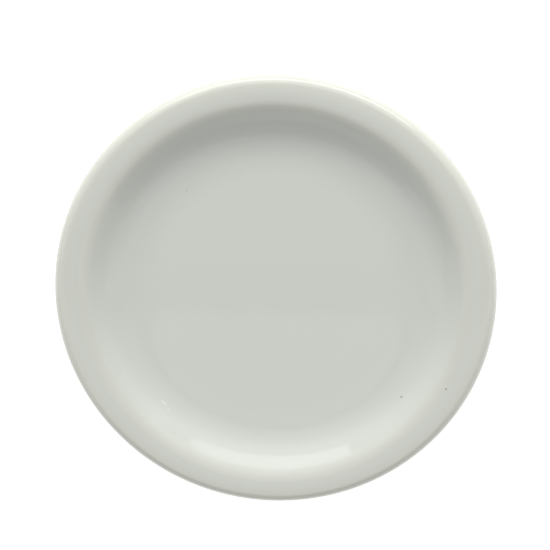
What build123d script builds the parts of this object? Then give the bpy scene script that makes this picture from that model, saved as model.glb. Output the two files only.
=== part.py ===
# A shallow round evaporating dish of glazed porcelain, with a narrow rolled rim and a wiped foot ring.
#
# Millimetres, +Z up. The origin is the middle of the plane that the foot ring stands on, and the Z axis is
# the dish's axis of revolution. The fired clay body is one solid. Its glaze is two more, because the wiped
# foot ring parts the coat over the dish from the coat in the foot recess.
#
# The dish is drawn as a half section in the XZ plane. Each slope below is the angle of the upper surface
# from level, in degrees, and each curve is that surface's radius. The underside runs parallel to it, one
# shell thickness away.
from build123d import *
import os
from math import radians, degrees, sin, cos, tan, atan2

# Size of the glazed dish
rim_radius = 82.5
floor_radius = 45.0
floor_height = 7.0
shell_thickness = 5.0

# Wall, from the floor outwards: a slack curve, a tighter one and a short cone
lower_wall_curve = 180.0
lower_wall_slope = 3.0
upper_wall_curve = 19.5
wall_slope = 38.5
cone_length = 4.2

# Rim: the shoulder at the top of the wall, the gently domed band, and the rolled lip at its edge
shoulder_curve = 10.0
shoulder_slope = 6.0
rim_slope = -5.5
lip_curve = 4.0

# Foot ring, with its radii at the bearing plane and its sides drafted away from it
foot_outer_radius = 52.0
foot_inner_radius = 49.0
foot_draft = 12.0
foot_root_height = 4.2
foot_blend = 1.4
foot_edge_round = 0.7

# Glaze: its thickness, and the height up to which it was wiped off the foot ring
glaze_thickness = 0.25
wipe_height = 1.1


def curve_run(curve, slope_in, slope_out):
    """Radial distance that a curve of the upper surface covers between two slopes."""
    return curve * abs(sin(radians(slope_out)) - sin(radians(slope_in)))


# The rim band's curve fills the width that is left between the shoulder and the lip
shoulder_end_radius = (
    floor_radius
    + curve_run(lower_wall_curve, 0, lower_wall_slope)
    + curve_run(upper_wall_curve, lower_wall_slope, wall_slope)
    + cone_length * cos(radians(wall_slope))
    + curve_run(shoulder_curve, wall_slope, shoulder_slope)
)
lip_start_radius = rim_radius - lip_curve * (1 + sin(radians(rim_slope)))
rim_curve = (lip_start_radius - shoulder_end_radius) / curve_run(1, shoulder_slope, rim_slope)

# The lip's lower curve touches its upper curve where the dish is widest, and the underside of the band.
# The place where the dish is widest is given from the centre of the band's curve.
widest_out = lip_curve - (rim_curve - lip_curve) * sin(radians(rim_slope))
widest_up = (rim_curve - lip_curve) * cos(radians(rim_slope))
under_rim_curve = rim_curve - shell_thickness
lower_lip_curve = (widest_out**2 + widest_up**2 - under_rim_curve**2) / (2 * (under_rim_curve + widest_out))
under_lip_slope = -degrees(atan2(widest_out - lower_lip_curve, widest_up))


def dish_section(inset):
    """Half section of the dish, with its glazed surfaces moved in by inset."""
    thickness = shell_thickness - 2 * inset
    under_floor = floor_height - shell_thickness + inset
    foot_spread = foot_root_height * tan(radians(foot_draft))
    outer = foot_outer_radius - inset
    inner = foot_inner_radius + inset
    with BuildSketch() as section:
        with BuildLine():
            # Upper surface, from the middle of the floor to the lip
            floor = Line((0, floor_height - inset), (floor_radius, floor_height - inset))
            lower = JernArc(floor @ 1, floor % 1, lower_wall_curve + inset, lower_wall_slope)
            upper = JernArc(lower @ 1, lower % 1, upper_wall_curve + inset, wall_slope - lower_wall_slope)
            cone = PolarLine(upper @ 1, cone_length, direction=upper % 1)
            shoulder = JernArc(cone @ 1, cone % 1, shoulder_curve - inset, shoulder_slope - wall_slope)
            band = JernArc(shoulder @ 1, shoulder % 1, rim_curve - inset, rim_slope - shoulder_slope)
            lip = JernArc(band @ 1, band % 1, lip_curve - inset, -90 - rim_slope)
            under_lip = JernArc(lip @ 1, lip % 1, lower_lip_curve - inset, under_lip_slope - 90)
            # Underside, back along curves that share their centres with the upper surface
            band = JernArc(
                under_lip @ 1, under_lip % 1, under_rim_curve + inset, shoulder_slope - under_lip_slope
            )
            shoulder = JernArc(
                band @ 1, band % 1, shoulder_curve - inset - thickness, wall_slope - shoulder_slope
            )
            cone = PolarLine(shoulder @ 1, cone_length, direction=shoulder % 1)
            upper = JernArc(
                cone @ 1, cone % 1, upper_wall_curve + inset + thickness, lower_wall_slope - wall_slope
            )
            lower = JernArc(upper @ 1, upper % 1, lower_wall_curve + inset + thickness, -lower_wall_slope)
            Polyline(lower @ 1, (0, under_floor), floor @ 0)
        make_face()
        # Foot ring, rooted inside the shell
        with BuildLine():
            Polyline(
                (inner, 0),
                (outer, 0),
                (outer + foot_spread, foot_root_height),
                (inner - foot_spread, foot_root_height),
                close=True,
            )
        make_face()
        # Blends into the shell on both sides, and rounded bearing edges
        foot_corners = section.vertices().filter_by_position(Axis.X, inner - foot_spread, outer + foot_spread)
        fillet(foot_corners.sort_by(Axis.Y)[2:], foot_blend + inset)
        fillet(section.vertices().group_by(Axis.Y)[0], foot_edge_round)
    return section.sketch


# The fired clay body: floor, wall, rim and bare foot ring in one piece
with BuildPart() as porcelain_body:
    with BuildSketch(Plane.XZ):
        add(dish_section(glaze_thickness))
    revolve(axis=Axis.Z)

# All of the glaze: what the finished dish has over its clay, above the wiped part of the foot ring
with BuildPart() as glaze:
    with BuildSketch(Plane.XZ):
        add(dish_section(0))
    revolve(axis=Axis.Z)
    add(porcelain_body.part, mode=Mode.SUBTRACT)
    split(bisect_by=Plane.XY.offset(wipe_height), keep=Keep.TOP)

recess_coat, dish_coat = glaze.solids().sort_by(SortBy.VOLUME)

# The coat over the inside, the rim and the outer wall, down to the outer side of the foot ring
with BuildPart() as glaze_coat:
    add(dish_coat)

# The disc of glaze inside the foot ring
with BuildPart() as foot_recess_glaze:
    add(recess_coat)

porcelain_body.part.label = "porcelain_body"
glaze_coat.part.label = "glaze_coat"
foot_recess_glaze.part.label = "foot_recess_glaze"

os.makedirs("parts", exist_ok=True)
export_step(porcelain_body.part, "parts/porcelain_body.step")
export_step(glaze_coat.part, "parts/glaze_coat.step")
export_step(foot_recess_glaze.part, "parts/foot_recess_glaze.step")
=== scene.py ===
"""Looks of the shallow porcelain evaporating dish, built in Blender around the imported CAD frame.

Metres, +Z up, the frame's own origin: the middle of the plane that the foot ring stands on. The dish is
turned from one half section, as in the CAD source, and every piece follows the same slight firing warp.
"""

import math

import bpy
import bmesh
from mathutils import Matrix, Vector


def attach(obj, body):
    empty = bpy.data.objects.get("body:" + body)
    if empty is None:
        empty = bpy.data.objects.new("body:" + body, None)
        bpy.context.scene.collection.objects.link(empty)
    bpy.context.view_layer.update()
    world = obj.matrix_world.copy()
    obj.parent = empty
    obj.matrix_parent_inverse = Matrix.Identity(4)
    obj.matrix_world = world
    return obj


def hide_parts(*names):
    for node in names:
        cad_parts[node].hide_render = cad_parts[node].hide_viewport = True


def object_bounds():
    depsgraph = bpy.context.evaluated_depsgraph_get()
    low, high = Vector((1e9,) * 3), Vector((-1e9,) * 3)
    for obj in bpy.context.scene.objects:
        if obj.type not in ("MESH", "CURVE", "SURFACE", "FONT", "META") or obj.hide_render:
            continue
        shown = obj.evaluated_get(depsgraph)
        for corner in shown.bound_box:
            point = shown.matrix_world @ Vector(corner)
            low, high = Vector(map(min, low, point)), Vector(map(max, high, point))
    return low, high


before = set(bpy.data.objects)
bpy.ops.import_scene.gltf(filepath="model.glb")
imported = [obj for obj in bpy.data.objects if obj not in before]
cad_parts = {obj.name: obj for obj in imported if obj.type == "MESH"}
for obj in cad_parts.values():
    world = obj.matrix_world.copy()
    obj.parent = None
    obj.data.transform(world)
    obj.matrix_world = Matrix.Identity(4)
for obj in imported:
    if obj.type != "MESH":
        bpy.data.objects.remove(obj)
cad_low, cad_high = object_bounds()

MM = 0.001

# ---------------------------------------------------------------------------------------------------------
# The dish's section. Slopes are in degrees from level and curves are radii, both of the upper surface.
# ---------------------------------------------------------------------------------------------------------
RIM_RADIUS = cad_high.x
FLOOR_RADIUS = 45.0 * MM
FLOOR_HEIGHT = 7.0 * MM
SHELL = 5.0 * MM
LOWER_WALL_CURVE = 180.0 * MM
LOWER_WALL_SLOPE = 3.0
UPPER_WALL_CURVE = 19.5 * MM
WALL_SLOPE = 38.5
CONE_LENGTH = 4.2 * MM
SHOULDER_CURVE = 10.0 * MM
SHOULDER_SLOPE = 6.0
RIM_SLOPE = -5.5
LIP_CURVE = 4.0 * MM

FOOT_OUTER = 52.0 * MM
FOOT_INNER = 49.0 * MM
FOOT_DRAFT = 12.0
FOOT_BLEND = 1.4 * MM
FOOT_EDGE_ROUND = 0.7 * MM
GLAZE = 0.25 * MM
WIPE_HEIGHT = 1.1 * MM

# Fineness of the meshes: steps round the dish, degrees along an arc, and length along a line
SEGMENTS = 288
ARC_STEP = 2.0
LINE_STEP = 1.2 * MM


def sin_d(angle):
    return math.sin(math.radians(angle))


def cos_d(angle):
    return math.cos(math.radians(angle))


def tan_d(angle):
    return math.tan(math.radians(angle))


class Outline:
    """A half section walked from point to point, with its outer side on the left of the way walked."""

    def __init__(self, r, z, heading):
        self.heading = heading
        self.points = [(r, z)]
        self.headings = [heading]

    def add(self, r, z):
        self.points.append((r, z))
        self.headings.append(self.heading)

    def line(self, length):
        steps = max(1, math.ceil(length / LINE_STEP))
        r, z = self.points[-1]
        for i in range(1, steps + 1):
            run = length * i / steps
            self.add(r + run * cos_d(self.heading), z + run * sin_d(self.heading))

    def arc(self, curve, turn):
        """An arc of that radius. A positive turn is to the left, in degrees."""
        side = math.copysign(1.0, turn)
        start = self.heading
        r, z = self.points[-1]
        centre_r = r - side * curve * sin_d(start)
        centre_z = z + side * curve * cos_d(start)
        length = math.radians(abs(turn)) * curve
        steps = max(2, math.ceil(abs(turn) / ARC_STEP), math.ceil(length / LINE_STEP))
        for i in range(1, steps + 1):
            self.heading = start + turn * i / steps
            out = side * curve * sin_d(self.heading)
            up = side * curve * cos_d(self.heading)
            self.add(centre_r + out, centre_z - up)
        self.heading = start + turn


def curve_run(curve, slope_in, slope_out):
    """Radial distance that a curve of the upper surface covers between two slopes."""
    return curve * abs(sin_d(slope_out) - sin_d(slope_in))


SHOULDER_END = (
    FLOOR_RADIUS
    + curve_run(LOWER_WALL_CURVE, 0, LOWER_WALL_SLOPE)
    + curve_run(UPPER_WALL_CURVE, LOWER_WALL_SLOPE, WALL_SLOPE)
    + CONE_LENGTH * cos_d(WALL_SLOPE)
    + curve_run(SHOULDER_CURVE, WALL_SLOPE, SHOULDER_SLOPE)
)
LIP_START = RIM_RADIUS - LIP_CURVE * (1 + sin_d(RIM_SLOPE))
RIM_CURVE = (LIP_START - SHOULDER_END) / curve_run(1, SHOULDER_SLOPE, RIM_SLOPE)

# The lip's lower curve touches its upper curve where the dish is widest, and the underside of the band.
# The place where the dish is widest is given from the centre of the band's curve.
LIP_OUT = LIP_CURVE - (RIM_CURVE - LIP_CURVE) * sin_d(RIM_SLOPE)
LIP_UP = (RIM_CURVE - LIP_CURVE) * cos_d(RIM_SLOPE)
UNDER_RIM_CURVE = RIM_CURVE - SHELL
LOWER_LIP_CURVE = (LIP_OUT**2 + LIP_UP**2 - UNDER_RIM_CURVE**2) / (2 * (UNDER_RIM_CURVE + LIP_OUT))
UNDER_LIP_SLOPE = -math.degrees(math.atan2(LIP_OUT - LOWER_LIP_CURVE, LIP_UP))


def walk_upper_side(outline, inset):
    """From the axis over the floor, the wall and the rim, and round the lip."""
    outline.line(FLOOR_RADIUS)
    outline.arc(LOWER_WALL_CURVE + inset, LOWER_WALL_SLOPE)
    outline.arc(UPPER_WALL_CURVE + inset, WALL_SLOPE - LOWER_WALL_SLOPE)
    outline.line(CONE_LENGTH)
    outline.arc(SHOULDER_CURVE - inset, SHOULDER_SLOPE - WALL_SLOPE)
    outline.arc(RIM_CURVE - inset, RIM_SLOPE - SHOULDER_SLOPE)
    outline.arc(LIP_CURVE - inset, -90 - RIM_SLOPE)
    outline.arc(LOWER_LIP_CURVE - inset, UNDER_LIP_SLOPE - 90)


def foot_blend_centre(inset, side):
    """Centre of the blend outside the foot ring, where side is 1, or inside it, where side is -1."""
    radius = FOOT_BLEND + inset
    bearing = (FOOT_OUTER - inset) if side > 0 else (FOOT_INNER + inset)
    start_r = bearing + side * radius * cos_d(FOOT_DRAFT)
    start_z = -radius * sin_d(FOOT_DRAFT)
    along_r = side * sin_d(FOOT_DRAFT)
    along_z = cos_d(FOOT_DRAFT)
    reach = LOWER_WALL_CURVE + SHELL - inset + radius
    to_r = start_r - FLOOR_RADIUS
    to_z = start_z - (FLOOR_HEIGHT + LOWER_WALL_CURVE)
    half_b = to_r * along_r + to_z * along_z
    rest = to_r * to_r + to_z * to_z - reach * reach
    along = -half_b - math.sqrt(half_b * half_b - rest)
    return start_r + along * along_r, start_z + along * along_z


def foot_blend_slope(inset, side):
    """Slope at which that blend meets the shell."""
    centre_r, centre_z = foot_blend_centre(inset, side)
    return math.degrees(math.atan2(centre_r - FLOOR_RADIUS, FLOOR_HEIGHT + LOWER_WALL_CURVE - centre_z))


def inner_blend_height(inset):
    """Height at which the foot ring's inner side runs into its blend."""
    return foot_blend_centre(inset, -1)[1] + (FOOT_BLEND + inset) * sin_d(FOOT_DRAFT)


def walk_under_side(outline, inset):
    """From the lip back under the rim and the wall, and down the blend onto the outside of the foot."""
    gap = SHELL - inset
    meets = foot_blend_slope(inset, 1)
    outline.arc(RIM_CURVE - gap, SHOULDER_SLOPE - UNDER_LIP_SLOPE)
    outline.arc(SHOULDER_CURVE - gap, WALL_SLOPE - SHOULDER_SLOPE)
    outline.line(CONE_LENGTH)
    outline.arc(UPPER_WALL_CURVE + gap, LOWER_WALL_SLOPE - WALL_SLOPE)
    outline.arc(LOWER_WALL_CURVE + gap, meets - LOWER_WALL_SLOPE)
    outline.arc(FOOT_BLEND + inset, 90 - FOOT_DRAFT - meets)


def walk_recess(outline, inset):
    """From the inner side of the foot, over the blend and the recess, to the axis."""
    meets = foot_blend_slope(inset, -1)
    outline.arc(FOOT_BLEND + inset, 90 - FOOT_DRAFT + meets)
    outline.arc(LOWER_WALL_CURVE + SHELL - inset, -meets)
    outline.line(FLOOR_RADIUS)


def inset_points(outline, count, depth):
    """The first points of an outline, last one first, moved in by depth: the hidden side of a coat."""
    moved = []
    for (r, z), heading in zip(outline.points[:count], outline.headings[:count]):
        moved.append((max(0.0, r + depth * sin_d(heading)), z - depth * cos_d(heading)))
    return moved[::-1]


def coat_section():
    """Glaze from the axis over the rim to a rounded bead at the wiped line, and back along the clay."""
    outline = Outline(0, FLOOR_HEIGHT, 0)
    walk_upper_side(outline, 0)
    walk_under_side(outline, 0)
    outline.line((outline.points[-1][1] - WIPE_HEIGHT) / cos_d(FOOT_DRAFT))
    shown = len(outline.points)
    outline.arc(GLAZE / 2, -180)
    return outline.points[:-1] + inset_points(outline, shown, GLAZE)


def clay_section():
    """The clay from the axis over the rim and round the bare foot ring to the axis."""
    outline = Outline(0, FLOOR_HEIGHT - GLAZE, 0)
    walk_upper_side(outline, GLAZE)
    walk_under_side(outline, GLAZE)
    corner = FOOT_EDGE_ROUND * tan_d(45 - FOOT_DRAFT / 2)
    outline.line(outline.points[-1][1] / cos_d(FOOT_DRAFT) - corner)
    outline.arc(FOOT_EDGE_ROUND, FOOT_DRAFT - 90)
    outline.line(FOOT_OUTER - FOOT_INNER - 2 * GLAZE - 2 * corner)
    outline.arc(FOOT_EDGE_ROUND, FOOT_DRAFT - 90)
    outline.line(inner_blend_height(GLAZE) / cos_d(FOOT_DRAFT) - corner)
    walk_recess(outline, GLAZE)
    outline.points[-1] = (0.0, outline.points[-1][1])
    return outline.points


def recess_section():
    """The disc of glaze inside the foot ring, along the clay first and back along its own surface."""
    outline = Outline(FOOT_INNER - WIPE_HEIGHT * tan_d(FOOT_DRAFT), WIPE_HEIGHT, 90 + FOOT_DRAFT)
    # The wiped line is above the start of the blend, so the straight run is held to its least length
    outline.line(max(0.01 * MM, (inner_blend_height(0) - WIPE_HEIGHT) / cos_d(FOOT_DRAFT)))
    walk_recess(outline, 0)
    outline.points[-1] = (0.0, outline.points[-1][1])
    clay_side = inset_points(outline, len(outline.points), GLAZE)
    bead = Outline(*clay_side[-1], FOOT_DRAFT - 90)
    bead.arc(GLAZE / 2, -180)
    return clay_side + bead.points[1:-1] + outline.points


# ---------------------------------------------------------------------------------------------------------
# Meshes
# ---------------------------------------------------------------------------------------------------------
# The kiln's warp at the rim, as waves round the dish: their number, size and phase. The outward waves are
# shares of the radius, and the lifting ones are lengths.
WARP_STARTS = FOOT_OUTER + 5 * MM
WARP_OUT = ((2, 0.0010, 0.7), (3, 0.0005, 2.0))
WARP_LIFT = ((2, 0.12 * MM, 2.4), (3, 0.05 * MM, 0.4))

# How far along the section glaze gathers from, its share on a level run, and its gain per radian of bend
POOLING_REACH = 4 * MM
LEVEL_POOLING = 0.5
POOLING_GAIN = 0.6


def waves(terms, angle):
    return sum(size * math.cos(number * angle + phase) for number, size, phase in terms)


def warped(r, z, angle):
    """A turned point, moved by the small warp that the dish took in the kiln. The foot stays flat."""
    share = (max(0.0, r - WARP_STARTS) / (RIM_RADIUS - WARP_STARTS)) ** 2
    out = r * (1 + share * waves(WARP_OUT, angle))
    lift = share * waves(WARP_LIFT, angle)
    return Vector((out * math.cos(angle), out * math.sin(angle), z + lift))


def slope_between(start, end):
    return math.atan2(end[1] - start[1], end[0] - start[0])


def pooling(section):
    """How far glaze gathers at each point of a section: more in hollows and less on edges."""
    travelled = [0.0]
    for start, end in zip(section, section[1:]):
        travelled.append(travelled[-1] + math.dist(start, end))
    depths = []
    for place in travelled:
        from_run = max(place - POOLING_REACH, 0.0)
        to_run = min(place + POOLING_REACH, travelled[-1])
        before = max(i for i, run in enumerate(travelled) if run <= from_run)
        after = min(i for i, run in enumerate(travelled) if run >= to_run)
        here = min(range(before, after + 1), key=lambda i: abs(travelled[i] - place))
        depth = LEVEL_POOLING
        if before < here < after:
            ahead = slope_between(section[here], section[after])
            behind = slope_between(section[before], section[here])
            bend = math.remainder(ahead - behind, 2 * math.pi)
            depth = min(1.0, max(0.0, LEVEL_POOLING + POOLING_GAIN * bend))
        depths.append(depth)
    return depths


def new_object(name, data):
    """A new object in the scene that holds the data."""
    made = bpy.data.objects.new(name, data)
    bpy.context.scene.collection.objects.link(made)
    return made


def turned_piece(name, section):
    """A closed piece turned from a section that starts and ends on the axis."""
    bm = bmesh.new()
    angles = [2 * math.pi * i / SEGMENTS for i in range(SEGMENTS)]
    first_pole = bm.verts.new(warped(*section[0], 0))
    last_pole = bm.verts.new(warped(*section[-1], 0))
    rings = [[bm.verts.new(warped(r, z, a)) for a in angles] for r, z in section[1:-1]]
    for i in range(SEGMENTS):
        j = (i + 1) % SEGMENTS
        bm.faces.new((first_pole, rings[0][i], rings[0][j]))
        bm.faces.new((last_pole, rings[-1][j], rings[-1][i]))
        for inner, outer in zip(rings, rings[1:]):
            bm.faces.new((inner[i], outer[i], outer[j], inner[j]))
    bmesh.ops.recalc_face_normals(bm, faces=bm.faces)
    mesh = bpy.data.meshes.new(name)
    bm.to_mesh(mesh)
    bm.free()
    mesh.shade_smooth()
    depths = pooling(section)
    pooled = mesh.attributes.new("pooling", "FLOAT", "POINT")
    per_point = [depths[0], depths[-1]] + [depth for depth in depths[1:-1] for _ in range(SEGMENTS)]
    pooled.data.foreach_set("value", per_point)
    return new_object(name, mesh)


# ---------------------------------------------------------------------------------------------------------
# Materials
# ---------------------------------------------------------------------------------------------------------
class Surface:
    """A Principled material and the few node helpers that the surfaces below are written with."""

    def __init__(self, name, **constants):
        self.material = bpy.data.materials.new(name)
        self.material.use_nodes = True
        self.tree = self.material.node_tree
        self.tree.nodes.clear()
        output = self.tree.nodes.new("ShaderNodeOutputMaterial")
        self.shader = self.tree.nodes.new("ShaderNodeBsdfPrincipled")
        self.tree.links.new(self.shader.outputs["BSDF"], output.inputs["Surface"])
        for socket, value in constants.items():
            self.shader.inputs[socket.replace("_", " ")].default_value = value
        self.place = self.tree.nodes.new("ShaderNodeTexCoord").outputs["Object"]

    def node(self, kind, settings, inputs):
        made = self.tree.nodes.new("ShaderNode" + kind)
        for key, value in settings.items():
            setattr(made, key, value)
        for key, value in inputs.items():
            if isinstance(value, bpy.types.NodeSocket):
                self.tree.links.new(value, made.inputs[key])
            else:
                made.inputs[key].default_value = value
        return made

    def feed(self, socket, source):
        self.tree.links.new(source, self.shader.inputs[socket])

    def noise(self, scale, detail=2.0, along=None):
        inputs = {"Vector": along or self.place, "Scale": scale, "Detail": detail}
        return self.node("TexNoise", {}, inputs).outputs["Fac"]

    def math(self, operation, first, second):
        return self.node("Math", {"operation": operation}, {0: first, 1: second}).outputs[0]

    def ramp(self, value, low, high, to_low=0.0, to_high=1.0):
        inputs = {"Value": value, "From Min": low, "From Max": high, "To Min": to_low, "To Max": to_high}
        return self.node("MapRange", {"interpolation_type": "SMOOTHSTEP"}, inputs).outputs["Result"]

    def blend(self, share, first, second):
        inputs = {0: share, 6: first, 7: second}
        return self.node("Mix", {"data_type": "RGBA"}, inputs).outputs[2]

    def vector(self, operation, first, second):
        return self.node("VectorMath", {"operation": operation}, {0: first, 1: second}).outputs["Vector"]

    def length(self, vector):
        return self.node("VectorMath", {"operation": "LENGTH"}, {0: vector}).outputs["Value"]

    def level_place(self):
        return self.vector("MULTIPLY", self.place, (1, 1, 0))

    def height(self):
        return self.node("SeparateXYZ", {}, {0: self.place}).outputs["Z"]

    def distance(self, spot, stretch=(1, 1, 1)):
        """Distance from a spot, given on the dish as radius in mm and bearing in degrees from +X."""
        radius, bearing = spot
        centre = (radius * MM * cos_d(bearing), radius * MM * sin_d(bearing), 0)
        inputs = {
            "Vector": self.vector("SUBTRACT", self.level_place(), centre),
            "Angle": -math.radians(bearing),
        }
        turned = self.node("VectorRotate", {"rotation_type": "Z_AXIS"}, inputs).outputs["Vector"]
        return self.length(self.vector("MULTIPLY", turned, stretch))

    def bump(self, height, depth, under=None):
        inputs = {"Height": height, "Strength": 1.0, "Distance": depth}
        if under:
            inputs["Normal"] = under
        return self.node("Bump", {}, inputs).outputs["Normal"]


def rgb(red, green, blue):
    return (red, green, blue, 1.0)


IRON = rgb(0.16, 0.12, 0.085)
# Colour of the painted glints: painted highlight that stands in for small reflections of light on the
# glaze
GLINT_PAINT = rgb(1.0, 1.0, 0.98)
# Half the width of a painted glint (a streak of painted highlight) in mm, and how finely the turning rings
# lie across the radius
GLINT_HALF_WIDTH = 0.28
RINGS_PER_METRE = 420.0


def glaze_surface(name, clear, cloudy, thin, specks, painted_glints, ring_depth):
    """Glossy glaze: soft clouding, a warmer tone where it runs thin, iron specks, pale streaks of painted
    highlight, and a faintly uneven skin.
    """
    surface = Surface(
        name,
        Roughness=0.30,
        Specular_IOR_Level=0.0,
        Coat_Weight=1.0,
        Coat_Roughness=0.02,
        Coat_IOR=1.5,
    )
    colour = surface.blend(surface.noise(22.0, 3.0), clear, cloudy)
    depth = surface.node("Attribute", {"attribute_name": "pooling"}, {}).outputs["Fac"]
    colour = surface.blend(surface.ramp(depth, 0.50, 0.15), colour, thin)
    grain = surface.noise(1800.0, 1.0)
    for radius, bearing, size, share in specks:
        ragged = surface.math("MULTIPLY", grain, 0.3 * MM)
        edge = surface.math("ADD", surface.distance((radius, bearing)), ragged)
        inside = surface.ramp(edge, size * MM + 0.35 * MM, 0.05 * MM, 0.0, share)
        colour = surface.blend(inside, colour, IRON)
    # Painted highlight: thin pale streaks in the base colour that stand in for glints of light on the
    # glaze
    for radius, bearing, half_length, share in painted_glints:
        edge = surface.distance((radius, bearing), (1 / GLINT_HALF_WIDTH, 1 / half_length, 0))
        inside = surface.ramp(edge, 1.0 * MM, 0.35 * MM, 0.0, share)
        colour = surface.blend(inside, colour, GLINT_PAINT)
    surface.feed("Base Color", colour)
    skin = surface.bump(surface.noise(260.0, 2.0), 0.006 * MM)
    slow = surface.bump(surface.noise(60.0, 2.0), 0.02 * MM, skin)
    ring_place = surface.math("MULTIPLY", surface.length(surface.level_place()), RINGS_PER_METRE)
    rings = surface.noise(1.0, 2.0, surface.node("CombineXYZ", {}, {"X": ring_place}).outputs["Vector"])
    surface.feed("Coat Normal", surface.bump(rings, ring_depth, slow))
    return surface.material


def clay_surface():
    """Unglazed porcelain: fine grain, a straw-coloured line under the glaze, and a worn bearing face."""
    surface = Surface("bare_porcelain", Specular_IOR_Level=0.35)
    grain = surface.noise(1500.0, 4.0)
    colour = surface.blend(grain, rgb(0.70, 0.67, 0.60), rgb(0.82, 0.80, 0.74))
    glaze_edge = surface.ramp(surface.height(), 0.55 * MM, 1.0 * MM)
    toast = surface.math("MULTIPLY", glaze_edge, surface.noise(90.0, 2.0))
    colour = surface.blend(toast, colour, rgb(0.62, 0.47, 0.30))
    bearing_face = surface.ramp(surface.height(), 0.12 * MM, 0.0)
    patches = surface.ramp(surface.noise(240.0, 4.0), 0.42, 0.62)
    worn = surface.math("MULTIPLY", bearing_face, patches)
    colour = surface.blend(surface.math("MULTIPLY", worn, 0.55), colour, rgb(0.42, 0.40, 0.37))
    surface.feed("Base Color", colour)
    surface.feed("Roughness", surface.ramp(surface.height(), 0.0, 0.15 * MM, 0.55, 0.85))
    surface.feed("Normal", surface.bump(grain, 0.03 * MM))
    return surface.material


def floor_surface():
    """A pale matt floor with a glow of its own, so that it stays white under soft light."""
    surface = Surface("pale_floor", Roughness=0.9, Emission_Color=rgb(1, 1, 1), Emission_Strength=0.77)
    tone = surface.blend(surface.noise(3.0, 3.0), rgb(0.41, 0.41, 0.41), rgb(0.43, 0.43, 0.43))
    surface.feed("Base Color", tone)
    surface.feed("Normal", surface.bump(surface.noise(700.0, 2.0), 0.05 * MM))
    return surface.material


# ---------------------------------------------------------------------------------------------------------
# Pieces
# ---------------------------------------------------------------------------------------------------------
# Iron specks: radius in mm, bearing in degrees, size in mm and how dark
SPECKS = (
    (62.9, -40.0, 0.50, 0.75),
    (73.4, -28.3, 0.38, 0.90),
    (50.3, 131.0, 0.22, 0.50),
    (62.2, 146.2, 0.22, 0.45),
)
RECESS_SPECKS = ((21.0, 65.0, 0.35, 0.6), (33.5, 205.0, 0.2, 0.5))
# Painted glints, pale streaks of painted highlight on the glaze: radius in mm, bearing in degrees, half
# length in mm and how bright
PAINTED_GLINTS = (
    (61.9, -133.8, 1.7, 1.0),
    (62.6, -130.9, 1.7, 0.5),
    (70.6, -133.6, 1.0, 0.35),
)
coat = glaze_surface(
    "white_glaze",
    clear=rgb(0.762, 0.792, 0.728),
    cloudy=rgb(0.772, 0.800, 0.742),
    thin=rgb(0.780, 0.792, 0.715),
    specks=SPECKS,
    painted_glints=PAINTED_GLINTS,
    ring_depth=0.004 * MM,
)
recess_coat = glaze_surface(
    "recess_glaze",
    clear=rgb(0.755, 0.778, 0.715),
    cloudy=rgb(0.768, 0.785, 0.722),
    thin=rgb(0.770, 0.770, 0.690),
    specks=RECESS_SPECKS,
    painted_glints=(),
    ring_depth=0.05 * MM,
)
for name, section, material, cad_node, slot in (
    ("dish_glaze", coat_section(), coat, "glaze_coat", "white_glaze"),
    ("clay_body", clay_section(), clay_surface(), "porcelain_body", "bare_porcelain"),
    ("recess_glaze", recess_section(), recess_coat, "foot_recess_glaze", "recess_glaze"),
):
    piece = turned_piece(name, section)
    piece.data.materials.append(material)
    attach(piece, "root")
    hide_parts(cad_node)

# ---------------------------------------------------------------------------------------------------------
# Floor, lights and camera
# ---------------------------------------------------------------------------------------------------------
# Half the floor's width, and the height of the level lights over the dish
FLOOR_REACH = 3.0
OVERHEAD = 1.2

floor_mesh = bpy.data.meshes.new("floor")
floor_corners = ((-1, -1), (1, -1), (1, 1), (-1, 1))
floor_points = [(x * FLOOR_REACH, y * FLOOR_REACH, 0) for x, y in floor_corners]
floor_mesh.from_pydata(floor_points, [], [(0, 1, 2, 3)])
floor = new_object("floor", floor_mesh)
floor.data.materials.append(floor_surface())


def soft_light(name, place, aim, width, height, radiance):
    """A rectangular soft light of that even brightness, facing aim."""
    data = bpy.data.lights.new(name, "AREA")
    data.shape = "RECTANGLE"
    data.size = width
    data.size_y = height
    data.energy = radiance * math.pi * width * height
    light = new_object(name, data)
    light.location = place
    light.rotation_mode = "QUATERNION"
    light.rotation_quaternion = (Vector(aim) - Vector(place)).to_track_quat("-Z", "Y")


def sky_light(name, bearing, low, high, away, width, radiance):
    """A soft light round the dish, over that range of elevations. Bearings are from +Y toward +X."""
    middle = (low + high) / 2
    level = away * cos_d(middle)
    place = (level * sin_d(bearing), level * cos_d(bearing), away * sin_d(middle))
    soft_light(name, place, (0, 0, 0), width, 2 * away * tan_d((high - low) / 2), radiance)


def overhead_light(name, near_tilt, far_tilt, width, radiance):
    """A level light over the dish between two tilts from the zenith, in degrees toward +Y."""
    near = OVERHEAD * tan_d(near_tilt)
    far = OVERHEAD * tan_d(far_tilt)
    middle = (near + far) / 2
    soft_light(name, (0, middle, OVERHEAD), (0, middle, 0), width, far - near, radiance)


# A strong low window on the far side, weaker light below and above it, and a faint fill on either hand
sky_light("window_foot", 0, 8, 20, 1.3, 2.4, 1.05)
sky_light("window", 0, 20, 31, 1.3, 2.4, 6.30)
sky_light("high_window", 0, 32, 41, 1.3, 1.5, 1.80)
sky_light("ceiling", 0, 45, 68, 1.3, 2.4, 0.50)
sky_light("left_fill", -90, 15, 42, 1.3, 2.6, 0.38)
sky_light("right_fill", 90, 15, 42, 1.3, 2.6, 0.36)

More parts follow.
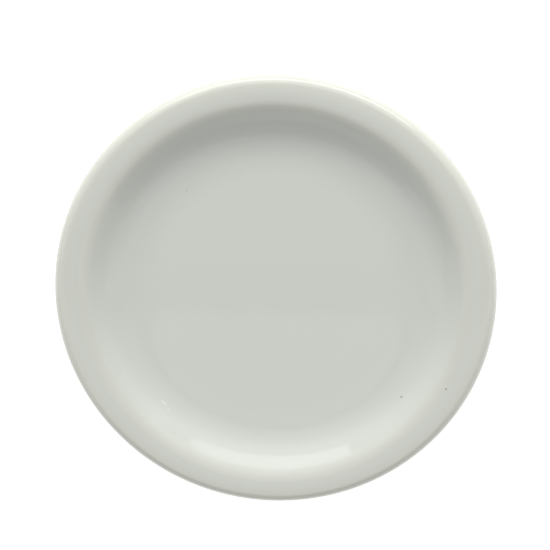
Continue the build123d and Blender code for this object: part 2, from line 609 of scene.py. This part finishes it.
# A pale card over the near side, whose far edge the dish's level floor mirrors, and a narrow panel beyond
# it with a graded near edge
overhead_light("near_card", -45.2, -16.3, 3.0, 0.57)
for step, near_tilt in enumerate((-13.5, -11.5, -9.5, -7.5)):
    overhead_light(f"overhead_panel_{step}", near_tilt, 10, 0.5, 0.18)

# The room round the lights: dim overhead and pale at the horizon
world = bpy.data.worlds.new("studio")
world.use_nodes = True
world_nodes = world.node_tree.nodes
world_links = world.node_tree.links
room = world_nodes["Background"]
room.inputs["Color"].default_value = (1, 1, 1, 1)
toward_room = world_nodes.new("ShaderNodeSeparateXYZ")
room_level = world_nodes.new("ShaderNodeMapRange")
room_level.inputs["From Min"].default_value = 0.03
room_level.inputs["From Max"].default_value = 0.13
room_level.inputs["To Min"].default_value = 0.70
room_level.inputs["To Max"].default_value = 0.235
world_links.new(world_nodes.new("ShaderNodeTexCoord").outputs["Generated"], toward_room.inputs[0])
world_links.new(toward_room.outputs["Z"], room_level.inputs["Value"])
world_links.new(room_level.outputs["Result"], room.inputs["Strength"])
bpy.context.scene.world = world

bpy.context.scene.view_settings.view_transform = "Standard"
bpy.context.scene.view_settings.look = "None"

# The camera's tilt from the vertical and its turn from +Y toward +X, in degrees. It stands at its distance
# from the target, and looks at the aim beside it, which places the dish in the picture.
CAMERA_TILT = 15.69
CAMERA_TURN = 12.24
CAMERA_DISTANCE = 0.60
CAMERA_TARGET = Vector((0, 0, 0.012))
CAMERA_AIM = Vector((0.00022, 0.00726, 0.012))
CAMERA_LENS = 105.11

from_dish = Vector((
    sin_d(CAMERA_TILT) * sin_d(CAMERA_TURN),
    sin_d(CAMERA_TILT) * cos_d(CAMERA_TURN),
    cos_d(CAMERA_TILT),
))
camera_data = bpy.data.cameras.new("camera")
camera_data.sensor_width = 36.0
camera_data.lens = CAMERA_LENS
camera = new_object("camera", camera_data)
bpy.context.scene.camera = camera
camera.location = CAMERA_TARGET + CAMERA_DISTANCE * from_dish
back = (camera.location - CAMERA_AIM).normalized()
right = Vector((0, 1, 0)).cross(back).normalized()
up = back.cross(right)
camera.rotation_mode = "QUATERNION"
camera.rotation_quaternion = Matrix((right, up, back)).transposed().to_quaternion()
